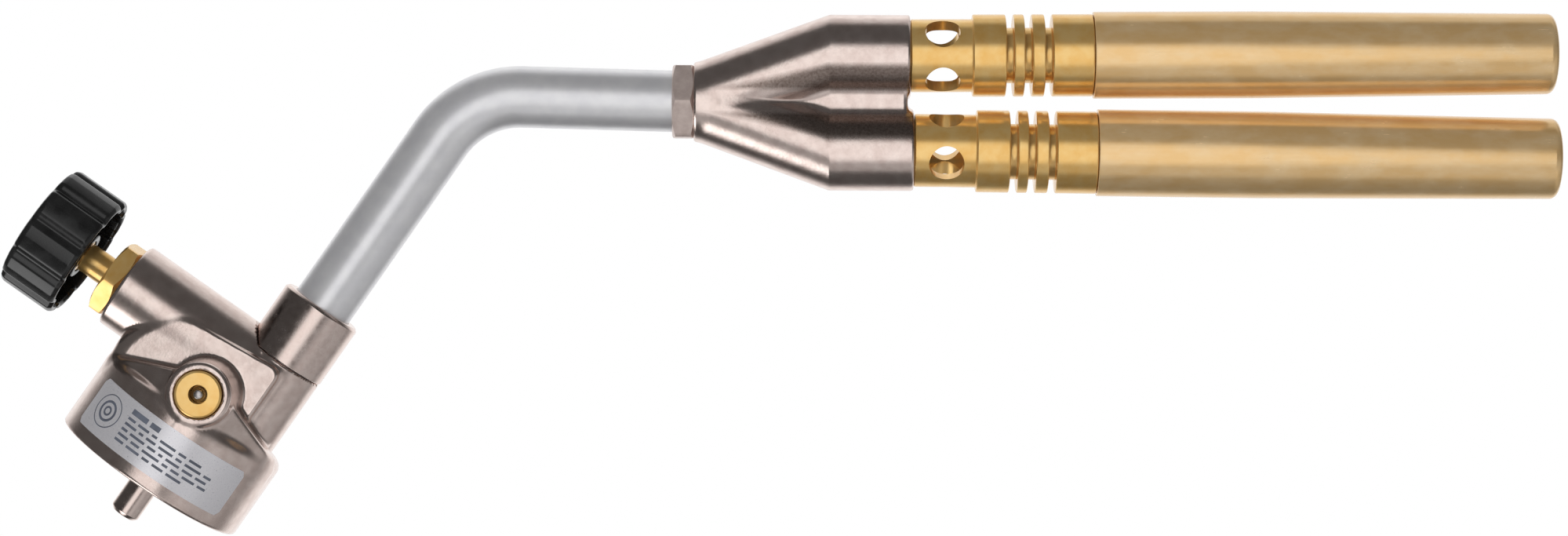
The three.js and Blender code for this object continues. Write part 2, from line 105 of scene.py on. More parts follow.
HEAD_LENGTH = 50.9
HEAD_SHOULDER = 31.9
HEAD_BARREL_RADIUS = 9.6
BARREL_OFFSET = 11.15
NECK_RADIUS = 9.1
LOWER_STEP = 1.0
FLAME_TUBE_START = 43.1
FLAME_TUBE_END = 151.9
FLAME_TUBE_RADIUS = 10.25
FLAME_TIP_RADIUS = 9.5
FLAME_TAPER_START = 81.0
FLAME_WALL = 1.2
TIP_CURL = 1.8
MIXER_RADIUS = 8.6
MIXER_COLLAR_RADIUS = 9.7
FIN_ROOT_RADIUS = 6.55
SPIGOT_RADIUS = 7.2
GROOVES = (22.5, 26.8, 31.6)
GROOVE_WIDTH = 1.8
AIR_HOLE_X = 7.6
AIR_HOLE_RADIUS = 4.15
FIRST_HOLES = {"upper": 39.3, "lower": -23.6}

KNOB_RADIUS = 15.7
KNOB_BACK = -41.0
KNOB_FRONT = -55.6
KNOB_FLOOR = KNOB_FRONT + 3
LOBES = 10
FLUTE_TURN = math.radians(26)

IDENTITY = np.eye(4)


def place(origin, along, side):
    """A 4x4 matrix whose local X runs along, and whose local Y is the side direction."""
    x = np.array(along, float) / np.linalg.norm(along)
    y = np.array(side, float) - np.dot(side, x) * x
    y /= np.linalg.norm(y)
    matrix = IDENTITY.copy()
    matrix[:3, 0] = x
    matrix[:3, 1] = y
    matrix[:3, 2] = np.cross(x, y)
    matrix[:3, 3] = origin
    return matrix


def moved(matrix, points):
    return np.asarray(points, float) @ matrix[:3, :3].T + matrix[:3, 3]


def burner_place(side):
    """The burner's own frame, from its CAD flame tube: origin on the manifold's end face, X along it."""
    points = cad_points(f"{side}_flame_tube")
    centre = points.mean(0)
    direction = np.linalg.svd(points - centre, full_matrices=False)[2][0]
    direction *= np.sign(direction[0])
    along = (points - centre) @ direction
    start = centre + direction * (along.max() - FLAME_TUBE_END)
    return place(start, direction, (0, 1, 0))


COLLAR = place((0, 0, 0), (0, 0, 1), (1, 0, 0))
OUTLET = place((OUTLET_X, 0, 0), (0, 0, 1), (1, 0, 0))
VALVE = place((0, 0, BARREL_AXIS), (1, 0, 0), (0, 1, 0))
SIDE = place(SIDE_BOSS, (0, 1, 0), (0, 0, 1))
BURNERS = {side: burner_place(side) for side in ("upper", "lower")}
head_direction = BURNERS["upper"][:3, 0] + BURNERS["lower"][:3, 0]
head_direction /= np.linalg.norm(head_direction)
head_end = (BURNERS["upper"][:3, 3] + BURNERS["lower"][:3, 3]) / 2
HEAD = place(head_end - head_direction * (HEAD_LENGTH + LOWER_STEP / 2), head_direction, (0, 1, 0))

# -------- camera, light and floor

PHOTO_ROLL = math.radians(35)
VIEW_WIDTH = 0.3702
VIEW_CENTRE = Vector((0.0945, 0, 0.1263))
CAMERA_DISTANCE = 0.926
photo_right = Vector((math.cos(PHOTO_ROLL), 0, math.sin(PHOTO_ROLL)))
photo_up = Vector((-math.sin(PHOTO_ROLL), 0, math.cos(PHOTO_ROLL)))
to_camera = Vector((0, -1, 0))


def make_camera():
    data = bpy.data.cameras.new("camera")
    data.sensor_width = 36
    data.lens = data.sensor_width * CAMERA_DISTANCE / VIEW_WIDTH
    data.clip_start = 0.01
    camera = bpy.data.objects.new("camera", data)
    bpy.context.scene.collection.objects.link(camera)
    axes = Matrix((photo_right, photo_up, to_camera)).transposed()
    camera.matrix_world = Matrix.LocRotScale(VIEW_CENTRE + to_camera * CAMERA_DISTANCE, axes.to_3x3(), None)
    bpy.context.scene.camera = camera


def studio_direction(turn, away):
    """A direction, by degrees of turn in the photo plane (0 right, 90 up) and degrees off the camera."""
    turn, away = math.radians(turn), math.radians(away)
    in_plane = photo_right * math.cos(turn) + photo_up * math.sin(turn)
    return to_camera * math.cos(away) + in_plane * math.sin(away)


class Graph:
    """Adds nodes to a node tree and links them by plain values or sockets."""

    def __init__(self, tree):
        self.tree = tree
        tree.nodes.clear()

    def add(self, kind, settings=None, **inputs):
        node = self.tree.nodes.new(kind)
        for key, value in (settings or {}).items():
            setattr(node, key, value)
        for key, value in inputs.items():
            self.feed(node, key, value)
        return node

    def feed(self, node, key, value):
        name = key.replace("_", " ")
        index = int(key[1:]) if key[0] == "i" and key[1:].isdigit() else name
        socket = node.inputs[index]
        if isinstance(value, bpy.types.NodeSocket):
            self.tree.links.new(value, socket)
        else:
            socket.default_value = value

    def math(self, operation, first, second=0.0, third=0.0):
        return self.add("ShaderNodeMath", {"operation": operation}, i0=first, i1=second, i2=third).outputs[0]

    def dot(self, first, second):
        node = self.add("ShaderNodeVectorMath", {"operation": "DOT_PRODUCT"}, i0=first, i1=second)
        return node.outputs["Value"]

    def noise(self, vector, scale, detail, roughness):
        node = self.add("ShaderNodeTexNoise", Vector=vector, Scale=scale, Detail=detail, Roughness=roughness)
        return node.outputs[0]

    def between(self, value, low, high, start, end):
        """start where value is low, end where it is high, straight between and level beyond."""
        return self.add("ShaderNodeMapRange", Value=value, i1=low, i2=high, i3=start, i4=end).outputs[0]

    def mix(self, amount, first, second):
        node = self.add("ShaderNodeMix", {"data_type": "RGBA"})
        self.feed(node, "i0", amount)
        self.feed(node, "i6", first)
        self.feed(node, "i7", second)
        return node.outputs[2]


PANELS = [
    # turn, away, half width, half height, softness as a share, strength
    (270, 3, 15, 29, 0.3, 1.1),
    (270, 46, 34, 18, 0.45, 0.32),
    (322, 74, 44, 34, 0.35, 0.36),
    (233, 76, 22, 16, 0.35, 2.4),
    (85, 118, 40, 18, 0.5, 0.6),
    (0, 180, 50, 50, 0.25, 1.0),
]
DARKEST = 0.06


def panel_glow(graph, direction, panel):
    """How brightly one soft oval panel is seen in a direction. Its width lies level in the photo."""
    turn, away, half_width, half_height, soft, strength = panel
    axis = studio_direction(turn, away)
    beside = photo_up.cross(axis)
    beside = beside.normalized() if beside.length > 0.2 else photo_right
    above = axis.cross(beside)
    reach = 0.0
    for side, half in ((beside, half_width), (above, half_height)):
        offset = graph.dot(direction, tuple(side / math.sin(math.radians(half))))
        reach = graph.math("ADD", reach, graph.math("MULTIPLY", offset, offset))
    glow = graph.add(
        "ShaderNodeMapRange", {"interpolation_type": "SMOOTHSTEP"},
        Value=graph.math("SQRT", reach), i1=1 - soft, i2=1 + soft, i3=strength, i4=0.0,
    )
    ahead = graph.math("GREATER_THAN", graph.dot(direction, tuple(axis)), 0.0)
    return graph.math("MULTIPLY", glow.outputs[0], ahead)


def make_world():
    """A studio of soft white panels between dark flags. The camera itself sees plain white."""
    world = bpy.data.worlds.new("studio")
    bpy.context.scene.world = world
    world.use_nodes = True
    graph = Graph(world.node_tree)
    direction = graph.add("ShaderNodeTexCoord").outputs["Generated"]
    light = DARKEST
    for panel in PANELS:
        light = graph.math("ADD", light, panel_glow(graph, direction, panel))
    seen = graph.add("ShaderNodeLightPath").outputs["Is Camera Ray"]
    strength = graph.add("ShaderNodeMix", {"data_type": "FLOAT"}, i0=seen, i2=light, i3=1.0).outputs[0]
    background = graph.add("ShaderNodeBackground", Color=(1, 1, 1, 1), Strength=strength)
    graph.add("ShaderNodeOutputWorld", Surface=background.outputs[0])


FLOOR_RADIUS = 0.62
FLOOR_HEIGHT = -0.26
KEY_LIGHT_SIZE = 0.9
KEY_LIGHT_POWER = 9.0
KEY_LIGHT_OFFSET = to_camera * 1.1 + photo_up * 0.55 - photo_right * 0.35


def make_floor():
    """A plain pale disc well under the torch, which its gas cylinder would stand on."""
    bpy.ops.mesh.primitive_circle_add(vertices=128, radius=FLOOR_RADIUS, fill_type="NGON")
    floor = bpy.context.object
    floor.name = "floor"
    floor.location = (VIEW_CENTRE.x, 0, FLOOR_HEIGHT)
    floor.data.materials.append(surface("pale_floor", (0.86, 0.86, 0.86), 0.7, 0.0)[0])
    floor.visible_glossy = False


def make_key_light():
    """A big soft box over the camera's left shoulder, for matt surfaces. Metal doesn't mirror it."""
    data = bpy.data.lights.new("key_softbox", "AREA")
    data.shape = "SQUARE"
    data.size = KEY_LIGHT_SIZE
    data.energy = KEY_LIGHT_POWER
    light = bpy.data.objects.new("key_softbox", data)
    bpy.context.scene.collection.objects.link(light)
    light.visible_glossy = False
    light.location = VIEW_CENTRE + KEY_LIGHT_OFFSET
    light.rotation_euler = (light.location - VIEW_CENTRE).to_track_quat("Z", "Y").to_euler()


# -------- meshes


def mesh_object(name, points, faces):
    mesh = bpy.data.meshes.new(name)
    mesh.from_pydata([tuple(point) for point in np.asarray(points) * MM], [], faces)
    mesh.validate()
    mesh.update()
    mesh.shade_smooth()
    obj = bpy.data.objects.new(name, mesh)
    bpy.context.scene.collection.objects.link(obj)
    return obj


def crisp(obj, angle=32):
    """Sharp edges where the surface turns sharply, and normals that follow the large faces."""
    obj.data.shade_smooth()
    obj.data.set_sharp_from_angle(angle=math.radians(angle))
    modifier = obj.modifiers.new("even normals", "WEIGHTED_NORMAL")
    modifier.keep_sharp = True
    modifier.weight = 100
    return obj


def softened(profile, radius=0.25, steps=3):
    """A closed profile with its corners rounded. Corners on the axis stay."""
    points = [np.array(point, float) for point in profile]
    result = []
    for before, corner, after in zip(points[-1:] + points[:-1], points, points[1:] + points[:1]):
        into, out = before - corner, after - corner
        reach = min(radius, 0.45 * np.linalg.norm(into), 0.45 * np.linalg.norm(out))
        if corner[0] < 1e-6 or reach < 1e-4:
            result.append(corner)
            continue
        first = corner + into / np.linalg.norm(into) * reach
        last = corner + out / np.linalg.norm(out) * reach
        for i in range(steps + 1):
            t = i / steps
            result.append(first * (1 - t) ** 2 + corner * 2 * t * (1 - t) + last * t**2)
    return result


def ringed(name, where, rings, inward=False, angle=32):
    """A closed skin through a loop of rings of points. A ring may be one point on the axis."""
    sides = max(len(ring) for ring in rings)
    firsts = np.cumsum([0] + [len(ring) for ring in rings])
    numbers = [[first + i % len(ring) for i in range(sides + 1)] for first, ring in zip(firsts, rings)]
    faces = []
    for ring, following in zip(numbers, numbers[1:] + numbers[:1]):
        for i in range(sides):
            corners = (ring[i], following[i], following[i + 1], ring[i + 1])
            face = [int(corner) for turn, corner in enumerate(corners) if corner != corners[turn - 1]]
            if len(face) > 2:
                faces.append(face[::-1] if inward else face)
    return crisp(mesh_object(name, moved(where, np.concatenate(rings)), faces), angle)


def turned(name, where, profile, soft=0.25, sides=SIDES, shape=None):
    """A closed profile of (radius, along) turned about the local X axis. shape may vary a ring's radius."""
    angles = np.arange(sides) * 2 * math.pi / sides
    outline = softened(profile, soft) if soft else [np.array(point, float) for point in profile]
    rings = []
    for point in outline:
        radius, along = point[0], point[1]
        if radius < 1e-6:
            rings.append([(along, 0, 0)])
            continue
        radii = shape(radius, point[2], angles) if shape else np.full(sides, radius)
        rings.append(np.stack([np.full(sides, along), radii * np.sin(angles), radii * np.cos(angles)], 1))
    area = sum(a[0] * b[1] - b[0] * a[1] for a, b in zip(outline, outline[1:] + outline[:1]))
    return ringed(name, where, rings, area < 0)


def band(inner, outer, start, end):
    """The plain rectangular profile of a disc, washer or sleeve."""
    return [(inner, start), (outer, start), (outer, end), (inner, end)]


def cylinder(where, radius, start, end, sides=72):
    """A plain cutter along the local X axis."""
    cutter = turned("cutter", where, band(0, radius, start, end), soft=0, sides=sides)
    cutter.modifiers.clear()
    return cutter


def cut(obj, cutters):
    """Takes the cutters out of obj and removes them."""
    obj.modifiers.clear()
    for cutter in cutters:
        modifier = obj.modifiers.new("cut", "BOOLEAN")
        modifier.operation = "DIFFERENCE"
        modifier.solver = "EXACT"
        modifier.object = cutter
    bpy.context.view_layer.update()
    result = bpy.data.meshes.new_from_object(obj.evaluated_get(bpy.context.evaluated_depsgraph_get()))
    obj.modifiers.clear()
    obj.data = result
    for cutter in cutters:
        bpy.data.objects.remove(cutter)
    return crisp(obj)


# -------- cast shapes as distance fields


def rounded(first, second, rounding):
    """What lies inside both shapes, with a rounded edge where their surfaces meet."""
    first, second = first + rounding, second + rounding
    outside = np.hypot(np.maximum(first, 0), np.maximum(second, 0))
    return outside + np.minimum(np.maximum(first, second), 0) - rounding


def round_bar(points, start, end, radius, end_radius=None, rounding=0.4):
    """Distance to a round bar between two points, tapered if end_radius is given, with rounded rims."""
    start, end = np.array(start, float), np.array(end, float)
    length = np.linalg.norm(end - start)
    direction = (end - start) / length
    offset = points - start
    along = offset @ direction
    across = np.linalg.norm(offset - along[:, None] * direction, axis=1)
    slope = 0 if end_radius is None else (end_radius - radius) / length
    side = (across - radius - slope * np.clip(along, 0, length)) / math.hypot(1, slope)
    return rounded(side, np.abs(along - length / 2) - length / 2, rounding)


def upright_bar(points, x, low, high, radius, rounding=0.05):
    return round_bar(points, (x, 0, low), (x, 0, high), radius, rounding=rounding)


def level_bar(points, left, right, radius, rounding=0.05):
    """A round bar on the valve's axis."""
    return round_bar(points, (left, 0, BARREL_AXIS), (right, 0, BARREL_AXIS), radius, rounding=rounding)


def round_box(points, low, high, rounding=0.5):
    low, high = np.array(low, float), np.array(high, float)
    reach = np.abs(points - (low + high) / 2) - (high - low) / 2 + rounding
    outside = np.linalg.norm(np.maximum(reach, 0), axis=1)
    return outside + np.minimum(reach.max(1), 0) - rounding


def half_space(points, through, outward):
    outward = np.array(outward, float) / np.linalg.norm(outward)
    return (points - np.array(through, float)) @ outward


def merged(first, second, blend):
    """Both shapes with a fillet where they meet."""
    overlap = np.maximum(blend - np.abs(first - second), 0) / blend
    return np.minimum(first, second) - overlap**2 * blend / 4


def common(first, second, blend):
    return -merged(-first, -second, blend)


def without(first, second, blend=0.35):
    return -merged(-first, second, blend)


BLOCK = 4


def corner_windows(shape):
    """The eight slices of a grid of corners that give each cell one of its corners."""
    for starts in itertools.product((0, 1), repeat=3):
        yield tuple(slice(start, count - 1 + start) for start, count in zip(starts, shape))


def inside_grid(field, low, cell, blocks):
    """Which grid corners lie inside the shape. Only the blocks near its surface are sampled finely."""
    lines = [low[axis] + cell * BLOCK * (np.arange(blocks[axis]) + 0.5) for axis in range(3)]
    middles = np.stack(np.meshgrid(*lines, indexing="ij"), -1).reshape(-1, 3)
    distance = field(middles).reshape(blocks)
    near = np.abs(distance) < cell * BLOCK * 1.1
    inside = np.zeros(blocks * BLOCK + 1, bool)
    fine = np.zeros(blocks * BLOCK + 1, bool)
    for axis in range(3):
        distance = np.repeat(distance, BLOCK, axis)
        near = np.repeat(near, BLOCK, axis)
    inside[:-1, :-1, :-1] = distance < 0
    for window in corner_windows(fine.shape):
        fine[window] |= near
    corners = np.argwhere(fine)
    inside[fine] = field(low + cell * corners) < 0
    return inside


def isosurface(field, low, high, cell):
    """Points and quads of the surface where the field is zero, by surface nets settled onto the field."""
    low, high = np.array(low, float), np.array(high, float)
    blocks = np.ceil((high - low) / (cell * BLOCK)).astype(int)
    inside = inside_grid(field, low, cell, blocks)
    counts = inside.shape
    total = np.zeros([count - 1 for count in counts], np.int8)
    for window in corner_windows(counts):
        total += inside[window]
    active = (total > 0) & (total < 8)
    number = np.full(active.shape, -1)
    number[active] = np.arange(active.sum())
    points = low + cell * (np.argwhere(active) + 0.5)

    quads = []
    for axis in range(3):
        first, second = (axis + 1) % 3, (axis + 2) % 3
        near = np.take(inside, range(0, counts[axis] - 1), axis)
        far = np.take(inside, range(1, counts[axis]), axis)
        crossing = np.argwhere(near != far)
        around = []
        for back_first, back_second in ((0, 0), (1, 0), (1, 1), (0, 1)):
            cells = crossing.copy()
            cells[:, first] -= back_first
            cells[:, second] -= back_second
            around.append(number[tuple(cells.T)])
        quad = np.stack(around, 1)
        leaving = near[tuple(crossing.T)]
        quad[~leaving] = quad[~leaving][:, ::-1]
        quads.append(quad)
    quads = np.concatenate(quads)

    points = settle(field, points, cell, 4)
    for _ in range(2):
        points = settle(field, relax(points, quads), cell, 2)
    return points, quads


def slope_and_value(field, points):
    """The field's slope and value, from four samples at the corners of a small tetrahedron."""
    step = 0.02
    corners = step * np.array([(1, -1, -1), (-1, -1, 1), (-1, 1, -1), (1, 1, 1)])
    samples = [field(points + corner) for corner in corners]
    slope = sum(sample[:, None] * corner for sample, corner in zip(samples, corners)) / (4 * step**2)
    return slope, sum(samples) / 4


def settle(field, points, cell, steps):
    """Moves points along the field's slope until they lie on the surface."""
    for _ in range(steps):
        slope, value = slope_and_value(field, points)
        move = slope * (value / np.maximum((slope**2).sum(1), 0.05))[:, None]
        length = np.linalg.norm(move, axis=1, keepdims=True)
        points = points - move * np.minimum(1, cell / np.maximum(length, 1e-9))
    return points


def relax(points, quads):
    """Moves each point halfway to the middle of its neighbours."""
    total = np.zeros_like(points)
    count = np.zeros(len(points))
    for side in range(4):
        here, there = quads[:, side], quads[:, (side + 1) % 4]
        np.add.at(total, here, points[there])
        np.add.at(total, there, points[here])
        np.add.at(count, here, 1)
        np.add.at(count, there, 1)
    return (points + total / count[:, None]) / 2


def cast(name, where, field, low, high, cell):
    """A cast piece from its distance field, with the field's own normals."""
    points, quads = isosurface(field, low, high, cell)
    normals = slope_and_value(field, points)[0]
    normals /= np.maximum(np.linalg.norm(normals, axis=1, keepdims=True), 1e-9)
    obj = mesh_object(name, moved(where, points), [tuple(int(v) for v in quad) for quad in quads])
    if len(obj.data.vertices) == len(points):
        obj.data.normals_split_custom_set_from_vertices([tuple(n) for n in normals @ where[:3, :3].T])
    return obj


# -------- the valve body


def wing(points, direction, boss, rim_front, tip):
    """The sloping fairing from the side boss down to the collar's rim: a facet through three corners."""
    boss, rim_front, tip = np.array(boss), np.array(rim_front), np.array(tip)
    outward = np.cross(tip - boss, rim_front - boss)
    outward *= -np.sign(outward[1])
    facet = half_space(points, boss, outward)
    ridge = tip - boss
    top = half_space(points, boss, (ridge[2] * -np.sign(ridge[0]), 0, abs(ridge[0])))
    shape = common(facet, top, 0.9)
    inner_sides = [(SIDE_BOSS, (-direction, 0, 0)), ((0, 0, 15), (0, 0, -1)), ((0, -5, 0), (0, 1, 0))]
    for through, outward in inner_sides:
        shape = common(shape, half_space(points, through, outward), 0.5)
    return common(shape, np.hypot(points[:, 0], points[:, 1]) - COLLAR_RADIUS + 0.4, 1.2)


def web_field(points):
    """The thick web between collar and barrel, flush with the barrel at its left end."""
    sides = [
        ((OUTLET_X + 2, 0, 25), (1, 0, 0)),
        ((7.3, 0, 38.8), (-2.9, 0, 28.3)),
        ((-23.7, 0, 24.5), (-1, 0, -0.1)),
        ((-21.9, 0, 29), (-1, 0, 0.8)),
        ((0, 0, COLLAR_HEIGHT - 4), (0, 0, -1)),
    ]
    outline = half_space(points, *sides[0])
    for through, outward in sides[1:]:
        outline = common(outline, half_space(points, through, outward), 3.0)
    face = np.abs(points[:, 1]) - WEB_FACE - 0.02 * (points[:, 0] + 21)
    leftward = np.clip((-10 - points[:, 0]) / 10, 0, 1)
    return rounded(outline, face, 0.7 + 3.0 * leftward)


def body_field(points):
    collar = upright_bar(points, 0, -4, COLLAR_HEIGHT, COLLAR_RADIUS, COLLAR_SHOULDER)
    collar = common(collar, half_space(points, (0, 0, 0), (0, 0, -1)), 0.9)
    barrel = level_bar(points, BARREL_END, 20, BARREL_RADIUS, 0.7)
    barrel = np.maximum(barrel, level_bar(points, BARREL_END - 9, 7, BARREL_RADIUS, 3))
    outlet = upright_bar(points, OUTLET_X, 10, OUTLET_SPLIT, OUTLET_RADIUS, 0.35)
    boss_face = SIDE_BOSS + (0, SIDE_BOSS_FACE, 0)
    boss = round_bar(points, boss_face, SIDE_BOSS, SIDE_BOSS_RADIUS, 9.3, rounding=1.0)
    shape = merged(collar, web_field(points), 1.6)
    shape = merged(shape, barrel, 0.8)
    shape = merged(shape, outlet, 1.2)
    for corners in WINGS:
        shape = merged(shape, wing(points, *corners), 1.2)
    shape = merged(shape, boss, 0.9)
    return hollowed(points, shape)


def hollowed(points, shape):
    """The casting with its ribbed pocket underneath and its bores taken out."""
    pocket = common(
        upright_bar(points, 0, -8, POCKET_TOP, COLLAR_RADIUS - COLLAR_WALL, 1.0),
        -upright_bar(points, 0, -20, 30, INNER_BOSS_RADIUS, 0.4), 1.0,
    )
    turn = np.arctan2(points[:, 1], points[:, 0])
    rib_turn = math.pi / 3
    off_rib = np.abs((turn % rib_turn) - rib_turn / 2) * np.hypot(points[:, 0], points[:, 1])
    rib = common(off_rib - 1.0, half_space(points, (0, 0, 2), (0, 0, -1)), 0.4)
    pocket = common(pocket, -rib, 0.8)
    plug_mouth, plug_floor = SIDE_BOSS + (0, SIDE_BOSS_FACE - 2, 0), SIDE_BOSS + (0, -17.3, 0)
    bores = {
        "thread ring": upright_bar(points, 0, -3, POCKET_TOP, THREAD_RING_RADIUS + 0.2),
        "gasket chest": upright_bar(points, 0, POCKET_TOP - 1, CHEST_TOP, CHEST_RADIUS),
        "stem": upright_bar(points, 0, CHEST_TOP - 1, STEM_TOP + 0.3, STEM_RADIUS + 0.15),
        "stem packing": level_bar(points, BARREL_END - 2, -19.8, 7.5),
        "spindle": level_bar(points, -21, -1, 5.3),
        "valve seat": level_bar(points, -2, 2.4, 3.8),
        "gas way past the seat": level_bar(points, 1, OUTLET_X, 1.5),
        "gas way to the tube": upright_bar(points, OUTLET_X, BARREL_AXIS, 39, 2.5),
        "gas tube": upright_bar(points, OUTLET_X, 38, OUTLET_SPLIT + 3, TUBE_HOLE),
        "outlet collar": upright_bar(points, OUTLET_X, OUTLET_SPLIT, 60, 10.25),
        "side plug": round_bar(points, plug_mouth, plug_floor, 5.65, rounding=0.05),
        "side gas way": round_bar(points, SIDE_BOSS + (0, -18, 0), SIDE_BOSS, 2.0, rounding=0.05),
        "gas way from the stem": upright_bar(points, -2.2, STEM_TOP, BARREL_AXIS, 1.2),
    }
    for bore in bores.values():
        shape = without(shape, bore)
    return without(shape, pocket)


# -------- the burner manifold


def branch(points, offset, end):
    """One pipe of the Y: a cone leaning out from the neck to the shoulder, then a straight barrel."""
    along = points[:, 0]
    leaning = np.clip(along / HEAD_SHOULDER, 0, 1)
    radius = NECK_RADIUS + (HEAD_BARREL_RADIUS - NECK_RADIUS) * leaning
    side = (np.hypot(points[:, 1], points[:, 2] - offset * leaning) - radius) * 0.95
    return common(side, np.maximum(0.3 - along, along - end), 0.7)


def manifold_field(points):
    shape = round_bar(points, (0.3, 0, 0), (6, 0, 0), NECK_RADIUS, NECK_RADIUS - 0.6, rounding=0.5)
    ends = [(1, HEAD_LENGTH), (-1, HEAD_LENGTH + LOWER_STEP)]
    for sign, end in ends:
        shape = merged(shape, branch(points, sign * BARREL_OFFSET, end), 0.9)
    web = round_box(points, (16, -4.8, -BARREL_OFFSET), (HEAD_LENGTH - 0.5, 4.8, BARREL_OFFSET), 1.0)
    shape = merged(shape, web, 1.8)
    shape = without(shape, round_bar(points, (-3, 0, 0), (9, 0, 0), TUBE_HOLE + 0.1, rounding=0.1))
    for sign, end in ends:
        offset = sign * BARREL_OFFSET
        socket = round_bar(points, (end - 12, 0, offset), (end + 4, 0, offset), SPIGOT_RADIUS + 0.3)
        jet = round_bar(points, (end - 26, 0, offset), (end - 10, 0, offset), 3.9)
        gas_way = round_bar(points, (6, 0, 0), (28, 0, offset), 2.2)
        for bore in (socket, jet, gas_way):
            shape = without(shape, bore)
    return shape


# -------- gas tube


def tube_route():
    """Points and directions of the tube's centre line, from the outlet to inside the manifold's neck."""
    outgoing = HEAD[:3, 3] - BEND_CORNER
    outgoing /= np.linalg.norm(outgoing)
    turn = math.acos(outgoing[2])
    tangent = BEND_RADIUS * math.tan(turn / 2)
    bend_start = BEND_CORNER - np.array([0, 0, tangent])
    centre = bend_start + np.array([BEND_RADIUS, 0, 0])
    stations = [(np.array([OUTLET_X, 0, 39.9]), 0.0)]
    for i in range(41):
        angle = turn * i / 40
        spot = centre + BEND_RADIUS * np.array([-math.cos(angle), 0, math.sin(angle)])
        stations.append((spot, angle))
    stations.append((HEAD[:3, 3] + outgoing * 8, turn))
    return stations


def make_gas_tube():
    turns = np.arange(96)[:, None] * 2 * math.pi / 96
    route = tube_route()
    walls = [(TUBE_RADIUS, station) for station in route]
    walls += [(TUBE_BORE, station) for station in reversed(route)]
    rings = []
    for radius, (spot, angle) in walls:
        outward = np.array([-math.cos(angle), 0, math.sin(angle)])
        rings.append(spot + radius * (outward * np.cos(turns) + np.array([0, 1, 0]) * np.sin(turns)))
    return ringed("gas_tube_drawn", IDENTITY, rings)


# -------- hexagons and knob


def hex_nut(name, where, across, start, end, bore, turn, neck=None):
    """A hexagon with turned-off corners. neck is the (radius, end) of a sleeve behind it."""
    per_side = 18
    flat = across / 2
    corner = flat / math.cos(math.pi / 6) - 0.12
    face_radius = flat - 0.25
    chamfer_slope = 0.55
    count = 6 * per_side
    angles = np.arange(count) * 2 * math.pi / count
    off_middle = angles % (math.pi / 3) - math.pi / 6
    radii = np.minimum(flat / np.cos(off_middle), corner)
    angles += turn
    shy = np.maximum(radii - face_radius, 0) * chamfer_slope
    profile = [
        (bore, start + 0.4), (bore + 0.4, start), (face_radius, start),
        (radii, start + shy), (radii, end - shy), (face_radius, end),
    ]
    if neck:
        sleeve, sleeve_end = neck
        profile += [(sleeve, end), (sleeve, sleeve_end - 0.5)]
        profile += [(sleeve - 0.5, sleeve_end), (bore, sleeve_end)]
    else:
        profile += [(bore, end)]
    rings = [
        np.stack([along * np.ones(count), radius * np.sin(angles), radius * np.cos(angles)], 1)
        for radius, along in profile
    ]
    return ringed(name, where, rings, angle=12)


def fluted(radius, weight, angles):
    """The knob's radius all round: broad lobes with a scooped flute between them."""
    pitch = 2 * math.pi / LOBES
    off = ((angles - FLUTE_TURN + pitch / 2) % pitch - pitch / 2) * KNOB_RADIUS
    half_width = 2.1
    scoop = np.where(np.abs(off) < half_width, 0.5 + 0.5 * np.cos(math.pi * off / half_width), 0)
    crown = 0.25 * (np.abs(off) / (pitch / 2 * KNOB_RADIUS)) ** 2
    return radius - weight * (0.95 * scoop + 0.25 - crown)


def make_knob():
    pocket = KNOB_FRONT + 5.2
    dome = []
    for radius in (5.2, 7, 9, 11, 13, 14.3):
        height = KNOB_FRONT - 1.3 * (1 - (radius / 14.6) ** 2)
        dome.append((radius, height, 0.0 if radius < 12 else 0.5))
    profile = [
        (3.3, KNOB_FLOOR, 0), (3.3, KNOB_FRONT + 0.6, 0), (5.2, KNOB_FRONT + 0.6, 0), *dome,
        (KNOB_RADIUS - 0.35, KNOB_FRONT + 0.3, 1), (KNOB_RADIUS, KNOB_FRONT + 1.2, 1),
        (KNOB_RADIUS, KNOB_BACK - 0.9, 1), (KNOB_RADIUS - 0.6, KNOB_BACK, 1),
        (KNOB_RADIUS - 1.4, KNOB_BACK, 1), (KNOB_RADIUS - 1.8, KNOB_BACK - 0.6, 0.8),
        (KNOB_RADIUS - 2.2, pocket + 0.4, 0.6), (12.6, pocket, 0.2), (6.9, pocket, 0),
        (6.1, pocket + 0.6, 0), (5.9, -42.2, 0), (5.6, -42, 0), (4.3, -42, 0), (4.3, KNOB_FLOOR, 0),
    ]
    return turned("knob_moulded", VALVE, profile, soft=0.35, sides=LOBES * 36, shape=fluted)


# -------- turned pieces


def ridged(turns, pitch, start, major, minor):
    """A thread's ridges in section, with flat crests and roots."""
    points = []
    for turn in range(turns):
        for radius, share in ((major, 0), (major, 0.12), (minor, 0.44), (minor, 0.6)):
            points.append((radius, start + turn * pitch + pitch * share))
    points.append((major, start + turns * pitch))
    return points


def round_section(inner, outer, centre):
    """An O-ring's round section."""
    steps = 18
    section = (outer - inner) / 2
    turn = [2 * math.pi * i / steps for i in range(steps)]
    return [(inner + section + section * math.cos(a), centre + section * math.sin(a)) for a in turn]


def spindle_profile():
    end = KNOB_FLOOR + 0.7
    thread = ridged(7, 0.95, -11.3, 4.15, 4.7)
    return [
        (0, -45.2), (1.8, -45.2), (1.8, end), (2.5, end), (2.5, -42), (3.6, -42), (3.6, -15), (4.7, -15),
        (4.7, -13.9), (3, -13.9), (3, -11.5), (4.15, -11.5), *thread, (2.4, -3.5), (0.4, 0.6), (0, 0.6),
    ]


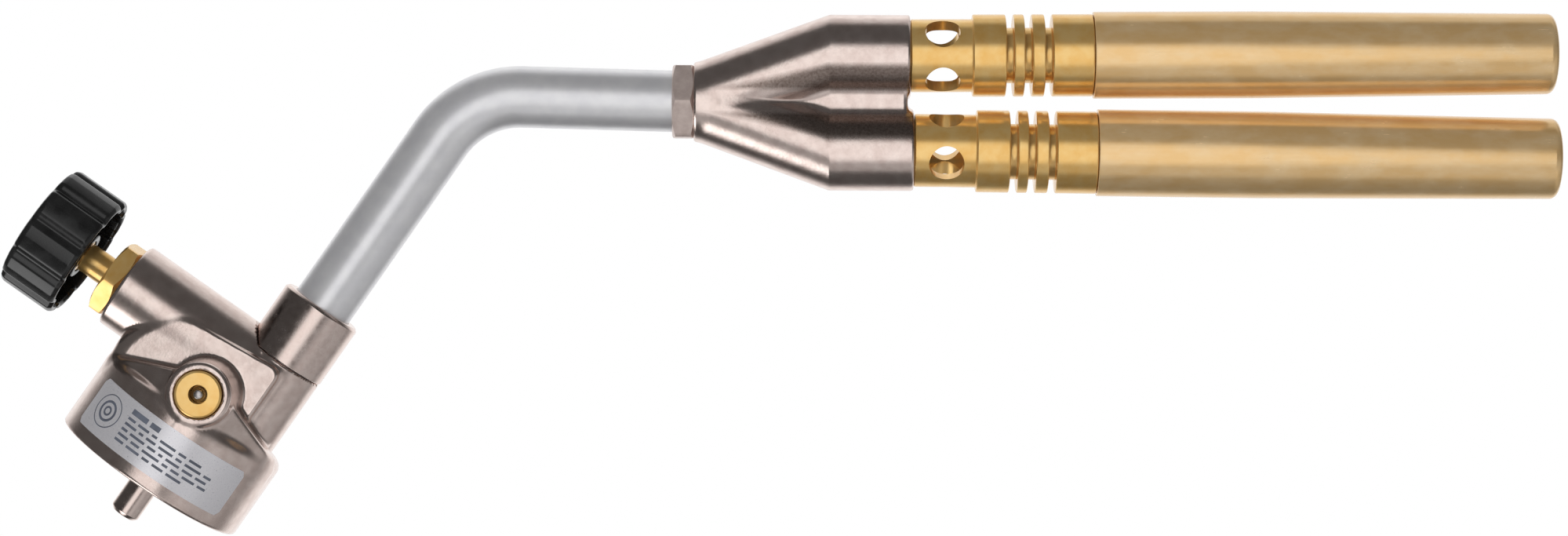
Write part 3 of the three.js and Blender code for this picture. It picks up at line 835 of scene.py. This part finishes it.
def mixer_profile():
    fins = []
    for start in GROOVES:
        fins += [(MIXER_COLLAR_RADIUS, start), (FIN_ROOT_RADIUS, start)]
        fins += [(FIN_ROOT_RADIUS, start + GROOVE_WIDTH), (MIXER_COLLAR_RADIUS, start + GROOVE_WIDTH)]
    return [
        (6, -11), (SPIGOT_RADIUS, -11), (SPIGOT_RADIUS, 0.15), (MIXER_RADIUS, 0.15), (MIXER_RADIUS, 14.7),
        (MIXER_COLLAR_RADIUS, 14.7), *fins, (MIXER_COLLAR_RADIUS, FLAME_TUBE_START), (8.7, FLAME_TUBE_START),
        (8.7, 52), (7.4, 52), (4.6, 38), (4.6, 20), (6, 14.5),
    ]


def make_mixing_tube(side):
    """A mixing tube with its two crossing pairs of air holes."""
    where = BURNERS[side]
    tube = turned(f"{side}_mixing_tube_turned", where, mixer_profile(), soft=0.4, sides=128)
    cutters = []
    for quarter in (0, 90):
        angle = math.radians(FIRST_HOLES[side] + quarter)
        across = np.array([0, -math.cos(angle), math.sin(angle)])
        hole = place(moved(where, [(AIR_HOLE_X, 0, 0)])[0], where[:3, :3] @ across, where[:3, 0])
        cutters.append(cylinder(hole, AIR_HOLE_RADIUS, -14, 14))
    return cut(tube, cutters)


def flame_tube_profile():
    inner = FLAME_TUBE_RADIUS - FLAME_WALL
    centre_radius = FLAME_TIP_RADIUS - TIP_CURL
    centre_along = FLAME_TUBE_END - TIP_CURL
    lip = [
        (centre_radius + TIP_CURL * math.cos(a), centre_along + (TIP_CURL - 0.03) * math.sin(a))
        for a in [math.radians(80) * i / 8 for i in range(9)]
    ]
    lip += [(centre_radius + 0.12, FLAME_TUBE_END - 0.12), (centre_radius + 0.08, FLAME_TUBE_END - 0.5)]
    return [
        (inner, FLAME_TUBE_START + 0.1), (FLAME_TUBE_RADIUS, FLAME_TUBE_START + 0.1),
        (FLAME_TUBE_RADIUS, FLAME_TAPER_START), *lip, (FLAME_TIP_RADIUS - FLAME_WALL, FLAME_TUBE_END - 3),
        (inner, FLAME_TAPER_START),
    ]


def make_flame_holder(side):
    """A disc with one middle port and six round it."""
    where = BURNERS[side]
    holder = turned(f"{side}_flame_holder_turned", where, band(2.6, 8.8, 56, 60), soft=0.3)
    cutters = []
    for i in range(6):
        angle = i * math.pi / 3
        port = where.copy()
        port[:3, 3] = moved(where, [(0, 5.6 * math.cos(angle), 5.6 * math.sin(angle))])[0]
        cutters.append(cylinder(port, 1.4, 50, 70, sides=32))
    return cut(holder, cutters)


# each turned piece's frame, profile of (radius, along) and corner rounding
TURNED = {
    "inlet_thread_ring": (COLLAR, [
        (14.1, 1.8), (12.8, 1.8), *ridged(6, 1.27, 3.0, 12.7, 11.9), (12.8, 11.3), (14.1, 11.3),
    ], 0.08),
    "inlet_stem": (COLLAR, [
        (1.3, -10.8), (2.7, -10.8), (STEM_RADIUS, -9.9), (STEM_RADIUS, 4), (2.7, 4), (2.7, 6.4),
        (STEM_RADIUS, 6.4), (STEM_RADIUS, STEM_TOP), (2.5, STEM_TOP), (2.5, 15), (1.3, 15),
    ], 0.2),
    "stem_o_ring": (COLLAR, round_section(2.8, 4.4, 5.2), 0),
    "inlet_gasket": (COLLAR, band(4.0, 12.2, 11.9, 13.8), 0.3),
    "inlet_filter": (COLLAR, band(0, 2.35, 15.2, 19.3), 0.3),
    "outlet_collar": (OUTLET, [(7.4, 40.85), (9.95, 40.85), (9.95, 55.8), (9.25, 56.5), (7.4, 56.5)], 0.2),
    "tube_gasket": (OUTLET, band(3, 7.3, 38.2, 39.7), 0.3),
    "side_plug": (SIDE, [
        (0, -18.2), (5.5, -18.2), (5.5, -24.5), (5.1, -24.9), (2.15, -24.9), (2.15, -20.8), (0, -20.8),
    ], 0.2),
    "side_plug_pin": (SIDE, [
        (0, -21.1), (1.8, -21.1), (1.8, -23.3), (1.3, -23.9), (1.1, -24.5), (0, -24.7),
    ], 0.3),
    "side_plug_gasket": (SIDE, band(2.6, 5.4, -18.0, -17.5), 0.15),
    "gland_packing": (VALVE, band(3.75, 7.4, -23.7, -21.3), 0.3),
    "packing_washer": (VALVE, band(3.9, 7.3, -21.1, -20.1), 0.15),
    "valve_seat": (VALVE, [(1.3, 0.6), (2.2, -0.7), (3.6, -0.7), (3.6, 2.2), (1.3, 2.2)], 0.1),
    "spindle": (VALVE, spindle_profile(), 0.15),
    "spindle_o_ring": (VALVE, round_section(3.05, 5.1, -12.7), 0),
    "knob_insert": (VALVE, band(2.65, 4.2, KNOB_FLOOR + 0.3, -42.3), 0.25),
    "knob_screw": (VALVE, [
        (0, KNOB_FLOOR - 2.2), (2.2, KNOB_FLOOR - 2.2), (2.9, KNOB_FLOOR - 1.4), (2.9, KNOB_FLOOR - 0.1),
        (1.5, KNOB_FLOOR - 0.1), (1.5, -46), (0, -46),
    ], 0.2),
    "knob_cap": (VALVE, [
        (0, KNOB_FRONT + 0.3), (4.9, KNOB_FRONT + 0.3), (4.9, KNOB_FRONT - 1), (4.6, KNOB_FRONT - 1.2),
        (0, KNOB_FRONT - 1.25),
    ], 0.25),
    "tube_ferrule": (HEAD, [(7.7, 0.5), (8.3, 0.5), (8.6, 1.5), (8.1, 4), (7.7, 4)], 0.15),
}
JET_PROFILE = [(0.6, -24), (3.7, -24), (3.7, -14), (2.4, -13), (2.4, -5), (1.6, -4), (0.6, -4)]

# -------- label

LABEL_INNER = 0.04
LABEL_THICK = 0.16
LABEL_LOW = 3.3
LABEL_HIGH = 15.6
LABEL_HALF = math.radians(53.5)


def on_collar(radius, arc, height):
    """A point by its distance from the collar's axis, its arc length from the front, and its height."""
    angle = arc / COLLAR_RADIUS
    return radius * math.sin(angle), -radius * math.cos(angle), height


def bent_plate(name, radius, thick, left, right, low, high, corner=0.0):
    """A thin plate bent round the collar. left and right are arc lengths from the front."""
    across = 48
    upward = 8
    points = []
    for depth in (radius, radius + thick):
        for j in range(upward + 1):
            height = low + (high - low) * j / upward
            for i in range(across + 1):
                arc = left + (right - left) * i / across
                edge = min(arc - left, right - arc)
                inset = corner - math.sqrt(max(corner**2 - (corner - edge) ** 2, 0)) if edge < corner else 0
                points.append(on_collar(depth, arc, min(max(height, low + inset), high - inset)))
    row = across + 1
    layer = row * (upward + 1)
    faces = []
    for j in range(upward):
        for i in range(across):
            a = j * row + i
            faces.append((a, a + row, a + row + 1, a + 1))
            faces.append((layer + a, layer + a + 1, layer + a + row + 1, layer + a + row))
    rim = [*range(row), *range(row + across, layer, row)]
    rim += [*range(layer - 2, layer - row - 1, -1), *range(layer - 2 * row, 0, -row)]
    for a, b in zip(rim, rim[1:] + rim[:1]):
        faces.append((a, b, layer + b, layer + a))
    return crisp(mesh_object(name, points, faces))


def bent_ring(radius, thick, centre, height, outer, inner):
    """A printed ring on the label."""
    sides = 40
    turns = [2 * math.pi * i / sides for i in range(sides)]
    section = ((radius, inner), (radius + thick, inner), (radius + thick, outer), (radius, outer))
    rings = [
        [on_collar(depth, centre + size * math.cos(turn), height + size * math.sin(turn)) for turn in turns]
        for depth, size in section
    ]
    return ringed("ring_mark", IDENTITY, rings)


LABEL_ROWS = [
    # height above the label's lower edge, tall, then the lengths of the row's dashes
    (10.0, 1.3, (4.6, 2.6)),
    (8.2, 0.62, (2.2, 3.1, 1.4, 4.2, 2.0, 3.3)),
    (6.8, 0.62, (3.4, 1.2, 2.6, 3.8, 1.6, 4.4, 2.1)),
    (5.4, 0.62, (1.8, 4.1, 2.2, 1.1, 3.6, 2.8, 3.0)),
    (4.0, 0.62, (3.0, 2.4, 4.6, 1.5, 2.2, 3.4, 2.3)),
    (2.6, 0.62, (2.6, 3.7, 1.9, 2.9, 4.0)),
]


def make_label_marks():
    """Plain dashes and plain rings where a label has its print: no lettering."""
    radius = COLLAR_RADIUS + LABEL_INNER + LABEL_THICK
    thick = 0.03
    row_start = -9.6
    dash_gap = 0.9
    ring_centre = -15.6
    ring_height = LABEL_LOW + 6.3
    rings = [(4.1, 3.85), (2.6, 2.0), (1.2, 0.7)]
    marks = [bent_ring(radius, thick, ring_centre, ring_height, outer, inner) for outer, inner in rings]
    for height, tall, lengths in LABEL_ROWS:
        left = row_start
        for length in lengths:
            low = LABEL_LOW + height - tall / 2
            high = low + tall
            marks.append(bent_plate("dash_mark", radius, thick, left, left + length, low, high))
            left += length + dash_gap
    bpy.ops.object.select_all(action="DESELECT")
    for mark in marks:
        mark.select_set(True)
    bpy.context.view_layer.objects.active = marks[0]
    bpy.ops.object.join()
    marks[0].name = "label_marks"
    marks[0].modifiers.clear()
    return crisp(marks[0])


# -------- materials


def surface(name, color, roughness, metallic=1.0):
    """A material with its uniform values on the shader. Returns the material, its graph and its shader."""
    material = bpy.data.materials.new(name)
    material.use_nodes = True
    graph = Graph(material.node_tree)
    values = {"Base_Color": (*color, 1), "Roughness": roughness, "Metallic": metallic}
    shader = graph.add("ShaderNodeBsdfPrincipled", **values)
    graph.add("ShaderNodeOutputMaterial", Surface=shader.outputs[0])
    return material, graph, shader


def stretched(graph, where, scales):
    """Texture coordinates in a piece's own frame, in millimetres divided by the given grain sizes."""
    position = graph.add("ShaderNodeTexCoord").outputs["Object"]
    axes = [graph.dot(position, tuple(where[:3, i] / (grain * MM))) for i, grain in enumerate(scales)]
    return graph.add("ShaderNodeCombineXYZ", X=axes[0], Y=axes[1], Z=axes[2]).outputs[0]


def in_mm(graph):
    """Texture coordinates in the torch's own frame, in millimetres."""
    return stretched(graph, IDENTITY, (1, 1, 1))


def tint(graph, shader, texture, low, high, first, second):
    """Colours the surface from first to second as the texture rises from low to high."""
    graph.feed(shader, "Base_Color", graph.mix(graph.between(texture, low, high, 0.0, 1.0), first, second))


def bump(graph, shader, height, depth_mm):
    node = graph.add("ShaderNodeBump", Strength=1.0, Distance=depth_mm * MM, Height=height)
    graph.feed(shader, "Normal", node.outputs["Normal"])


DULL_NICKEL = (0.72, 0.585, 0.535, 1)
BRIGHT_NICKEL = (0.82, 0.69, 0.635, 1)
# painted shade: the dark colour laid into the grooves between the manifold's pipes
GROOVE_SHADE_NICKEL = (0.22, 0.165, 0.14, 1)


def cast_nickel(name="cast_nickel", dark=None):
    """Plated casting with a fine pebble. dark(graph) gives where a painted shade darkens it and its
    roughness rises.
    """
    material, graph, shader = surface(name, DULL_NICKEL[:3], 0.2, 0.95)
    place_mm = in_mm(graph)
    pebble = graph.noise(place_mm, 1.7, 3.0, 0.6)
    wave = graph.noise(place_mm, 0.35, 2.0, 0.5)
    speck = graph.noise(place_mm, 5.5, 2.0, 0.6)
    color = graph.mix(graph.between(wave, 0.35, 0.65, 0.0, 1.0), DULL_NICKEL, BRIGHT_NICKEL)
    roughness = graph.between(speck, 0.3, 0.7, 0.15, 0.27)
    if dark:
        # painted shade: the colour darkens where dark(graph) is high, broken up by the pebble
        shade_mask = graph.math("MULTIPLY", dark(graph), graph.between(pebble, 0.3, 0.6, 1.0, 0.75))
        color = graph.mix(shade_mask, color, GROOVE_SHADE_NICKEL)
        roughness = graph.math("MULTIPLY_ADD", shade_mask, 0.12, roughness)
    graph.feed(shader, "Base_Color", color)
    graph.feed(shader, "Roughness", roughness)
    bump(graph, shader, graph.math("MULTIPLY_ADD", wave, 2.0, pebble), 0.012)
    return material


def shade_between_pipes(graph):
    """Where painted shade lies in the manifold's two grooves, either side of the flat web between its pipes.
    """
    own_mm = graph.add("ShaderNodeSeparateXYZ", Vector=stretched(graph, HEAD, (1, 1, 1))).outputs
    origin = HEAD[:3, :3].T @ HEAD[:3, 3]
    along = graph.math("SUBTRACT", own_mm[0], origin[0])
    height = graph.math("ABSOLUTE", graph.math("SUBTRACT", own_mm[2], origin[2]))
    reach = graph.between(along, 0.0, HEAD_SHOULDER, 1.4, BARREL_OFFSET - 2.6)
    inner = graph.between(height, 2.3, 3.4, 0.0, 1.0)
    outer = graph.between(graph.math("SUBTRACT", reach, height), -0.7, 0.9, 0.0, 1.0)
    return graph.math("MULTIPLY", inner, outer)


def grained(name, color, metallic, rough, grain, depth_mm=0.006, tints=None, cloud=None, hazy=False):
    """A fine grain under a colour that a cloud tints. Where hazy, the cloud also sets the roughness."""
    material, graph, shader = surface(name, color, rough[0], metallic)
    place_mm = in_mm(graph)
    grain = graph.noise(place_mm, *grain)
    cloud = graph.noise(place_mm, *cloud) if cloud else grain
    if tints:
        tint(graph, shader, cloud, *tints)
    graph.feed(shader, "Roughness", graph.between(cloud if hazy else grain, 0.3, 0.7, *rough))
    bump(graph, shader, grain, depth_mm)
    return material


def plain_nickel(name, metallic, rough):
    """Smooth plated metal with a faint haze."""
    return grained(
        name, DULL_NICKEL[:3], metallic, rough, grain=(4.0, 2.0, 0.5),
        tints=(0.35, 0.65, DULL_NICKEL, BRIGHT_NICKEL), cloud=(0.6, 3.0, 0.6), hazy=True,
    )


def aluminium_tube():
    """Drawn aluminium, a little cloudy."""
    return grained(
        "aluminium_tube", (0.86, 0.86, 0.88), 0.6, (0.28, 0.4), grain=(5.0, 3.0, 0.6),
        tints=(0.35, 0.65, (0.84, 0.835, 0.86, 1), (0.90, 0.895, 0.91, 1)), cloud=(0.25, 2.0, 0.5),
    )


def steel():
    return grained("steel", (0.60, 0.56, 0.55), 1.0, (0.2, 0.4), grain=(3.0, 3.0, 0.6))


def plastic(name, color, roughness, grain_mm, depth_mm):
    """A moulded or rubber surface with a fine grain."""
    lighter = tuple(value * 1.6 + 0.006 for value in color)
    return grained(
        name, color, 0.0, (roughness - 0.04, roughness + 0.08), (1 / grain_mm, 3.0, 0.6), depth_mm,
        tints=(0.4, 0.75, (*color, 1), (*lighter, 1)), cloud=(0.22, 3.0, 0.6), hazy=True,
    )


def label_foil():
    """The label's dull silver foil."""
    return grained(
        "label_foil", (0.70, 0.71, 0.75), 0.5, (0.27, 0.36), grain=(3.0, 3.0, 0.6),
        tints=(0.3, 0.7, (0.77, 0.755, 0.80, 1), (0.86, 0.845, 0.87, 1)),
    )


def brass(name, where):
    """Machined brass with fine turning rings about the piece's axis."""
    material, graph, shader = surface(name, (0.86, 0.60, 0.22), 0.17, 0.62)
    rings = graph.noise(stretched(graph, where, (0.16, 9, 9)), 1.0, 2.0, 0.6)
    tarnish = graph.noise(in_mm(graph), 0.3, 3.0, 0.55)
    tint(graph, shader, tarnish, 0.35, 0.7, (0.91, 0.61, 0.235, 1), (0.85, 0.50, 0.145, 1))
    graph.feed(shader, "Roughness", graph.between(rings, 0.3, 0.7, 0.13, 0.25))
    bump(graph, shader, rings, 0.005)
    return material


def satin_brass(name, where):
    """The flame tubes' paler brass, brushed lengthwise with soft smudges."""
    material, graph, shader = surface(name, (0.90, 0.62, 0.30), 0.2, 0.5)
    lines = graph.noise(stretched(graph, where, (14, 0.22, 0.22)), 1.0, 3.0, 0.65)
    smudge = graph.noise(stretched(graph, where, (9, 5, 5)), 1.0, 3.0, 0.6)
    tint(graph, shader, smudge, 0.38, 0.66, (0.88, 0.575, 0.255, 1), (0.95, 0.68, 0.37, 1))
    line_roughness = graph.between(lines, 0.3, 0.7, 0.11, 0.2)
    smudge_roughness = graph.between(smudge, 0.4, 0.7, 0.0, 0.1)
    graph.feed(shader, "Roughness", graph.math("ADD", line_roughness, smudge_roughness))
    bump(graph, shader, lines, 0.0055)
    return material


make_camera()
make_world()
make_floor()
make_key_light()
bpy.context.scene.view_settings.view_transform = "Standard"

MATERIALS = {
    "cast_nickel": cast_nickel(),
    # the manifold's nickel, with painted shade in the grooves between its pipes
    "shaded_manifold_nickel": cast_nickel("shaded_manifold_nickel", shade_between_pipes),
    "plain_nickel": plain_nickel("plain_nickel", 1.0, (0.16, 0.28)),
    "nut_nickel": plain_nickel("nut_nickel", 0.6, (0.28, 0.4)),
    "aluminium_tube": aluminium_tube(),
    "steel": steel(),
    "black_plastic": plastic("black_plastic", (0.012, 0.012, 0.012), 0.2, 0.8, 0.006),
    "rubber": plastic("rubber", (0.02, 0.02, 0.02), 0.6, 0.5, 0.01),
    "packing": plastic("packing", (0.8, 0.78, 0.72), 0.45, 0.5, 0.005),
    "label_foil": label_foil(),
}
BRASS = {
    "x": brass("brass_along_x", VALVE),
    "z": brass("brass_upright", COLLAR),
    "y": brass("brass_across", SIDE),
    "upper": brass("brass_upper_burner", BURNERS["upper"]),
    "lower": brass("brass_lower_burner", BURNERS["lower"]),
}
# the way each turned brass piece's rings run; the burners' own go by their side
BRASS_AXIS = {
    "inlet_thread_ring": "z", "inlet_filter": "z", "side_plug": "y", "gland_nut": "x", "spindle": "x",
    "knob_insert": "x", "tube_ferrule": "upper",
}
# nodes whose material is finer than their slot's
FINER_MATERIAL = {"burner_manifold": "shaded_manifold_nickel", "manifold_nut": "nut_nickel"}


def material_for(node):
    slot = FINER_MATERIAL.get(node, slot_of[node])
    side = node.split("_")[0]
    if slot == "brass":
        return BRASS[BRASS_AXIS.get(node, side)]
    if slot == "satin_brass":
        return satin_brass(f"{side}_satin_brass", BURNERS[side])
    return MATERIALS[slot]


def stands_for(node, obj):
    """The finer piece obj takes the CAD node's place, body, slot and material."""
    obj.data.materials.clear()
    obj.data.materials.append(material_for(node))
    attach(obj, body_of[node])
    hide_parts(node)


# -------- the torch

BODY_CELL = 0.55
MANIFOLD_CELL = 0.5
MANIFOLD_LOW = (-1, -11.5, -22.5)
MANIFOLD_HIGH = (HEAD_LENGTH + LOWER_STEP + 1, 11.5, 22.5)
NUT_ACROSS = 17
GLAND_TURN = math.radians(24)
MANIFOLD_TURN = math.radians(30)

body_low, body_high = cad_box("valve_body")
valve_body = cast("valve_body_cast", IDENTITY, body_field, body_low - 1, body_high + 1, BODY_CELL)
stands_for("valve_body", valve_body)
manifold = cast("manifold_cast", HEAD, manifold_field, MANIFOLD_LOW, MANIFOLD_HIGH, MANIFOLD_CELL)
stands_for("burner_manifold", manifold)
stands_for("gas_tube", make_gas_tube())
for node, (where, profile, soft) in TURNED.items():
    stands_for(node, turned(f"{node}_turned", where, profile, soft))
for side, where in BURNERS.items():
    stands_for(f"{side}_jet", turned(f"{side}_jet_turned", where, JET_PROFILE, 0.2, 64))
    stands_for(f"{side}_mixing_tube", make_mixing_tube(side))
    flame_tube = turned(f"{side}_flame_tube_drawn", where, flame_tube_profile(), 0.3, 144)
    stands_for(f"{side}_flame_tube", flame_tube)
    stands_for(f"{side}_flame_holder", make_flame_holder(side))
gland_nut = hex_nut(
    "gland_nut_hexagon", VALVE, NUT_ACROSS, -35, BARREL_END - 0.15, 3.9, GLAND_TURN, neck=(7.3, -24)
)
stands_for("gland_nut", gland_nut)
stands_for("manifold_nut", hex_nut("manifold_nut_hexagon", HEAD, NUT_ACROSS, -5, 0.1, 7.5, MANIFOLD_TURN))
stands_for("knob", make_knob())

label_radius = COLLAR_RADIUS + LABEL_INNER
label_half = LABEL_HALF * COLLAR_RADIUS
label = bent_plate(
    "label_sticker", label_radius, LABEL_THICK, -label_half, label_half, LABEL_LOW, LABEL_HIGH, corner=1.2
)
stands_for("data_label", label)
marks = make_label_marks()
marks.data.materials.append(plastic("label_print", (0.10, 0.11, 0.14), 0.45, 0.5, 0.002))
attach(marks, body_of["data_label"])
